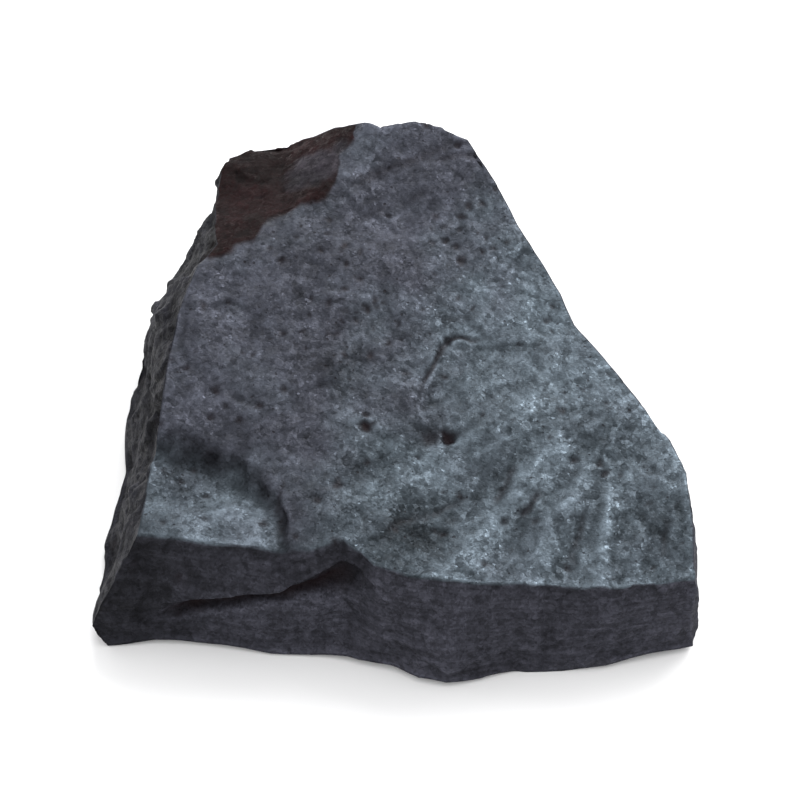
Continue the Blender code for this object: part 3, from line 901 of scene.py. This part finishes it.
class Nodes:
    """A material's node tree, with one short call for each kind of step."""

    def __init__(self, name):
        self.material = bpy.data.materials.new(name)
        self.material.use_nodes = True
        self.tree = self.material.node_tree
        self.shader = self.tree.nodes["Principled BSDF"]

    def add(self, kind, sockets, **settings):
        """A node of that kind; each socket, by name or number, gets a value or another's output."""
        node = self.tree.nodes.new(kind)
        for name, value in settings.items():
            setattr(node, name, value)
        for name, value in sockets.items():
            if isinstance(value, bpy.types.NodeSocket):
                self.tree.links.new(value, node.inputs[name])
            else:
                node.inputs[name].default_value = value
        return node

    def noise(self, place, scale, detail, roughness=0.55):
        """Fractal noise round 0.5."""
        return self.add("ShaderNodeTexNoise", {"Vector": place, "Scale": scale, "Detail": detail,
                                               "Roughness": roughness}).outputs["Fac"]

    def maths(self, operation, *values):
        """One sum, product or the like of numbers."""
        return self.add("ShaderNodeMath", dict(enumerate(values)), operation=operation).outputs[0]

    def times(self, first, second, more=0.0):
        """The product of two numbers, plus a third."""
        return self.maths("MULTIPLY_ADD", first, second, more)

    def vectors(self, operation, *values):
        """One sum, product or the like of vectors."""
        return self.add("ShaderNodeVectorMath", dict(enumerate(values)), operation=operation)

    def span(self, value, low, high, to_low=0.0, to_high=1.0):
        """The value carried from one range to another, held at its ends."""
        return self.add("ShaderNodeMapRange", {"Value": value, "From Min": low, "From Max": high,
                                               "To Min": to_low, "To Max": to_high}).outputs[0]

    def breaks(self, place, size):
        """Small flat breaks: cells of random lean.  Gives their height and a random share of each."""
        cells = self.add("ShaderNodeTexVoronoi", {"Vector": place, "Scale": 1.0 / size})
        lean = self.vectors("SUBTRACT", cells.outputs["Color"], (0.5, 0.5, 0.5)).outputs[0]
        away = self.vectors("SUBTRACT", place, cells.outputs["Position"]).outputs[0]
        height = self.vectors("DOT_PRODUCT", lean, away)
        share = self.add("ShaderNodeSeparateColor", {"Color": cells.outputs["Color"]})
        return height.outputs["Value"], share.outputs[0]

    def mix(self, share, first, second):
        """Two colours mixed."""
        return self.add("ShaderNodeMix", {0: share, 6: first, 7: second},
                        data_type="RGBA").outputs[2]


def ore_material():
    """Massive hematite.  Lengths in its patterns are millimetres on the stone."""
    n = Nodes("hematite_ore")
    n.shader.inputs["Specular IOR Level"].default_value = SPECULAR
    place = n.add("ShaderNodeTexCoord", {}).outputs["Object"]
    place = n.vectors("MULTIPLY", place, (1.0 / MM, 1.0 / MM, 1.0 / MM)).outputs[0]
    rust, dirt_and_shade, bright, clean_and_lit, light, level = [
        n.add("ShaderNodeAttribute", {}, attribute_name=name).outputs["Fac"]
        for name in ("rust", "dirt_and_shade", "bright", "clean_and_lit", "light", "level")]

    # Patterns: broad patches, splinters, single crystals, pinholes, and the layers in the walls.
    patches = n.noise(place, PATCHES, 4.0)
    splinters = n.noise(place, SPLINTERS, 4.0, 0.6)
    bends, reach = WAVER
    bend = n.add("ShaderNodeTexNoise", {"Vector": place, "Scale": bends, "Detail": 3.0})
    wavy = n.vectors("MULTIPLY_ADD", bend.outputs["Color"], (reach, reach, reach), place).outputs[0]
    coarse, coarse_share = n.breaks(wavy, CRYSTALS[0])
    fine, fine_share = n.breaks(wavy, CRYSTALS[1])
    holes = n.add("ShaderNodeTexVoronoi", {"Vector": wavy, "Scale": PINHOLES})
    hole_share = n.add("ShaderNodeSeparateColor", {"Color": holes.outputs["Color"]}).outputs[1]
    radius = n.span(hole_share, HOLE_NONE, 1.0, 0.0, HOLE_WIDE)
    hole = n.span(n.maths("SUBTRACT", radius, holes.outputs["Distance"]), 0.0, HOLE_EDGE)
    across = n.add("ShaderNodeSeparateXYZ", {0: place})
    bed_place = n.add("ShaderNodeCombineXYZ", {0: n.times(across.outputs[0], BED_FLAT),
                                               1: n.times(across.outputs[1], BED_FLAT),
                                               2: level}).outputs[0]
    lines = n.noise(bed_place, BED_LINES, 4.0, 0.6)
    walls = n.maths("SUBTRACT", 1.0, bright)

    # Colour: steel on the top, lighter where fresh as painted light, dull on the walls, rust on the
    # old facet, dirt and painted shade in the hollows.
    # The share of the lighter, bluer steel: the fresh share, which carries painted light, with
    # patches.
    clean_and_lit_share = n.maths("ADD", clean_and_lit, n.span(patches, 0.3, 0.7, -0.25, 0.25))
    colour = n.mix(clean_and_lit_share, STEEL_WARM, STEEL)
    colour = n.mix(bright, DULL, colour)
    colour = n.mix(rust, colour, n.mix(n.span(patches, 0.45, 0.65), RUST, RUST_RED))
    shade = light
    for pattern, low, high, tones in ((splinters, 0.3, 0.7, SPLINTER_TONES),
                                      (patches, 0.3, 0.7, PATCH_TONES),
                                      (coarse_share, 0.0, 1.0, COARSE_TONES),
                                      (fine_share, 0.0, 1.0, FINE_TONES)):
        shade = n.times(shade, n.span(pattern, low, high, *tones))
    shade = n.times(shade, n.times(n.span(lines, 0.35, 0.65, *BED_TONES), walls, 1.0))
    colour = n.vectors("MULTIPLY", colour, shade).outputs[0]
    # Pinholes darkened like the pits: dirt, and painted shade.
    hole_dirt_and_shade = n.times(hole, n.span(bright, 0.0, 1.0, *HOLE_DIRT_AND_SHADE))
    dirt_and_shade_cover = n.maths("MAXIMUM", dirt_and_shade, hole_dirt_and_shade)
    colour = n.mix(dirt_and_shade_cover, colour, DIRT_AND_SHADE)
    n.tree.links.new(colour, n.shader.inputs["Base Color"])

    # Gloss: metallic on the fresh fracture with a glint on a few crystals, and a tenth of that
    # on rust and under dirt and painted shade.
    glint = n.times(n.span(fine_share, *GLINTING), bright)
    metal = n.times(bright, n.span(clean_and_lit, 0.0, 1.0, *METAL_TOP), METAL_WALL)
    metal = n.times(glint, METAL_GLINT, metal)
    for cover in (rust, dirt_and_shade_cover):
        metal = n.times(metal, n.span(cover, 0.0, 1.0, 1.0, METAL_LEFT))
    n.tree.links.new(metal, n.shader.inputs["Metallic"])
    matt = n.span(bright, 0.0, 1.0, *MATT)
    matt = n.maths("ADD", matt, n.span(coarse_share, 0.0, 1.0, *MATT_CRYSTAL))
    matt = n.times(glint, MATT_GLINT, matt)
    matt = n.times(rust, MATT_RUST, matt)
    n.tree.links.new(matt, n.shader.inputs["Roughness"])

    # Fine relief below what the skin itself carries.
    rise = n.times(splinters, SPLINTER_RISE)
    for pattern, height in ((coarse, COARSE_RISE), (fine, FINE_RISE), (hole, HOLE_RISE),
                            (n.times(lines, walls), BED_RISE)):
        rise = n.times(pattern, height, rise)
    bump = n.add("ShaderNodeBump", {"Height": rise, "Distance": MM, "Strength": 1.0})
    n.tree.links.new(bump.outputs[0], n.shader.inputs["Normal"])
    return n.material


points, squares, patch, wall_share = stone_net()
normals = facing(points, squares)
points += normals * relief(points, normals, wall_share)
normals = facing(points, squares)
bright = eased(wall_share, *BRIGHT_RIM) * eased(normals[2], *BRIGHT_LEAN)
kept = {"rust": rusty(points, normals, wall_share),
        "dirt_and_shade": dirt_and_hollow_shade(points, normals, wall_share),
        "bright": bright,
        "clean_and_lit": fresh_and_lit(points),
        "light": lightness(points, normals, squares, bright, wall_share),
        "level": wall_share * WALL_HIGH}
points = (points - np.array(MIDDLE)[:, None]) * FINISHED

mesh = bpy.data.meshes.new("hematite_stone_skin")
mesh.from_pydata((points * MM).T.tolist(), [], squares.tolist() + [patch.tolist()])
mesh.shade_smooth()
for name, values in kept.items():
    mesh.attributes.new(name, "FLOAT", "POINT").data.foreach_set("value", values)
mesh.materials.append(ore_material())
stone = bpy.data.objects.new("hematite_stone_skin", mesh)
bpy.context.collection.objects.link(stone)
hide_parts("hematite_stone")
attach(stone, "root")


# --------------------------------------------------------
# THE TABLE.  A flat board with a matt white face, wide enough that its edge is never in view.
# The stone lies loose on it, on the flat patch of its underside.
# --------------------------------------------------------
TABLE_HALF = 1.2            # metres
TABLE_COLOUR = (0.86, 0.86, 0.865, 1.0)
TABLE_MATT = 0.7


def table():
    """One flat square."""
    mesh = bpy.data.meshes.new("table")
    corners = np.array([(-1, -1, 0), (1, -1, 0), (1, 1, 0), (-1, 1, 0)]) * TABLE_HALF
    mesh.from_pydata(corners.tolist(), [], [(0, 1, 2, 3)])
    n = Nodes("white_board")
    n.shader.inputs["Base Color"].default_value = TABLE_COLOUR
    n.shader.inputs["Roughness"].default_value = TABLE_MATT
    mesh.materials.append(n.material)
    board = bpy.data.objects.new("table", mesh)
    bpy.context.collection.objects.link(board)
    return board


table()


# --------------------------------------------------------
# THE LIGHT.  A square soft box, which is a lamp behind white cloth, over the back right of the
# stone and turned to it, and white walls all round.
# --------------------------------------------------------
SOFT_BOX_PLACE = Vector((0.28, 0.80, 0.70))     # metres
SOFT_BOX_WIDTH = 0.80
SOFT_BOX_POWER = 14.0       # watts
ROOM_COLOUR = (1.0, 1.0, 1.0, 1.0)
ROOM_LIGHT = 1.3

lamp = bpy.data.lights.new("soft_box", "AREA")
lamp.shape = "SQUARE"
lamp.size = SOFT_BOX_WIDTH
lamp.energy = SOFT_BOX_POWER
soft_box = bpy.data.objects.new("soft_box", lamp)
soft_box.location = SOFT_BOX_PLACE
soft_box.rotation_euler = SOFT_BOX_PLACE.to_track_quat("Z", "Y").to_euler()
bpy.context.collection.objects.link(soft_box)

world = bpy.data.worlds.new("room")
world.use_nodes = True
walls = world.node_tree.nodes["Background"]
walls.inputs["Color"].default_value = ROOM_COLOUR
walls.inputs["Strength"].default_value = ROOM_LIGHT
bpy.context.scene.world = world
bpy.context.scene.view_settings.view_transform = "Standard"


# --------------------------------------------------------
# THE CAMERA.  It looks down on the stone at 50 degrees from half a metre away, square to the
# front wall, through a long lens.
# --------------------------------------------------------
AIM = Vector((0.00016, 0.00461, 0.0))
CAMERA_AWAY = 0.504
CAMERA_DOWN = np.radians(50.0)
VIEW_WIDTH = 0.0484         # metres of the table that the view takes in at the aim

lens = bpy.data.cameras.new("camera")
lens.lens = lens.sensor_width * CAMERA_AWAY / VIEW_WIDTH
lens.clip_start = 0.01
camera = bpy.data.objects.new("camera", lens)
back = Vector((0.0, -np.cos(CAMERA_DOWN), np.sin(CAMERA_DOWN)))
camera.location = AIM + CAMERA_AWAY * back
camera.rotation_euler = back.to_track_quat("Z", "Y").to_euler()
bpy.context.collection.objects.link(camera)
bpy.context.scene.camera = camera
